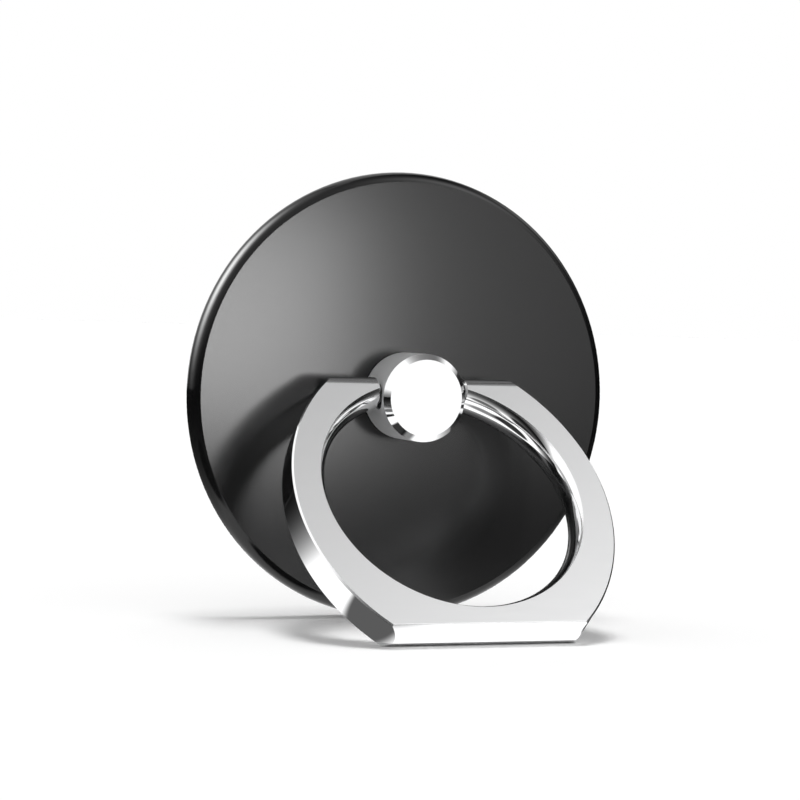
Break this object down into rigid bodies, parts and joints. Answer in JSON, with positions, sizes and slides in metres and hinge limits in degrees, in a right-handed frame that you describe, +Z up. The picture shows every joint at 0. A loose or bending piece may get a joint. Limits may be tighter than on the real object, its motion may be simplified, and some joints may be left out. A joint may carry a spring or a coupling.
{
  "type": "phone ring holder",
  "caption": "Stick-on ring holder for a phone: round black plate, swivelling chrome knob and a hinged chrome finger ring that folds flat or opens as a stand.",
  "frame": {"origin": "middle of the adhesive face behind the plate, on the knob's swivel axis", "axes": "+Y out of the adhesive face, away from the viewer, along the swivel axis; +Z up as the holder stands on its plate edge and ring foot; +X along the ring's hinge axis"},
  "size_m": [0.036, 0.0213, 0.036],
  "materials": {
    "black_plate": "satin black face, glossy black rim",
    "chrome_plating": "mirror chrome, satin on the ring's front face",
    "bare_steel": "plain zinc-plated steel",
    "foam_tape": "matt grey foam tape",
    "nylon": "black nylon"
  },
  "bodies": {
    "plate": {"base_plate": "black_plate", "steel_insert": "bare_steel", "adhesive_pad": "foam_tape", "spring_washer": "bare_steel", "glide_washer": "nylon"},
    "swivel": {"knob": "chrome_plating", "hinge_sleeve": "nylon", "clamp_washer": "bare_steel", "retaining_screw": "bare_steel"},
    "ring": {"finger_ring": "chrome_plating"}
  },
  "joints": [
    {"name": "knob_swivel", "type": "hinge", "parent": "plate", "child": "swivel", "pos_m": [0, 0, 0], "axis": [0, -1, 0], "continuous": true},
    {"name": "ring_tilt", "type": "hinge", "parent": "swivel", "child": "ring", "pos_m": [0, -0.00572, 0], "axis": [-1, 0, 0], "range_deg": [-45.5, 144.5]}
  ]
}
